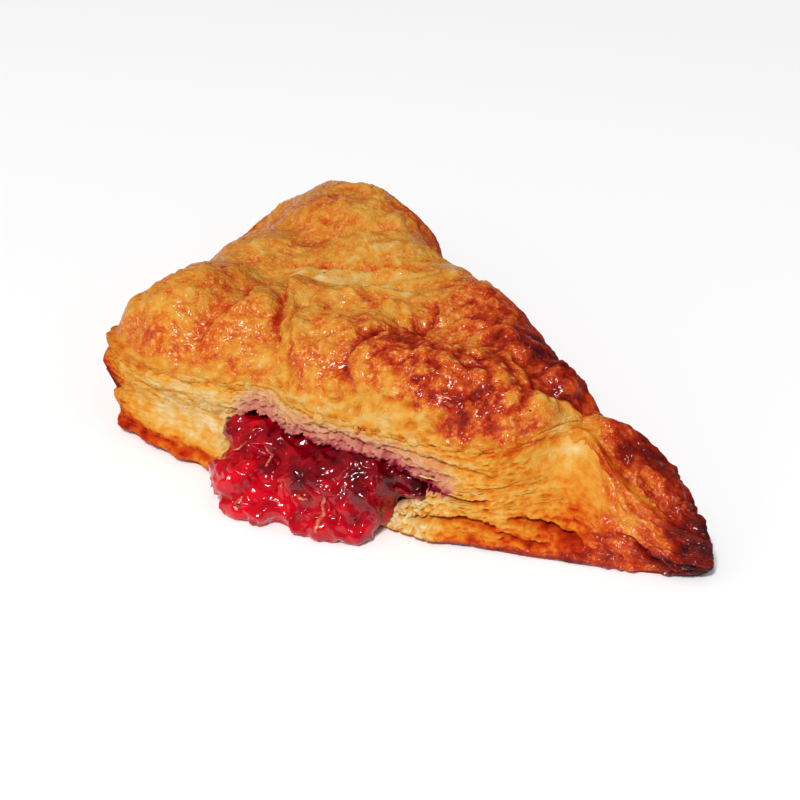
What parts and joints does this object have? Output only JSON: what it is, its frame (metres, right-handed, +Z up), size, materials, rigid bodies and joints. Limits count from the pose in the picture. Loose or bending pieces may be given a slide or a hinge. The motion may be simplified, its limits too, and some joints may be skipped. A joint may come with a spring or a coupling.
{
  "type": "turnover pastry",
  "caption": "Three-cornered folded puff pastry with a domed, creased crust, layered cut edges and a red fruit filling pushed out of the open edge.",
  "frame": {"origin": "on the flat base, under the middle of the pastry's thick part, in the plane that it rests on", "axes": "+X along the open cut edge towards the thin tip, +Y towards the far tip at the other end of the fold, +Z up out of the base"},
  "size_m": [0.1398, 0.1266, 0.036],
  "materials": {
    "pastry": "baked, satin egg wash on top, dry pale layers at the cut edges",
    "filling": "wet and glossy, slightly clear"
  },
  "bodies": {
    "root": {"pastry": "pastry", "filling": "filling"}
  },
  "joints": []
}
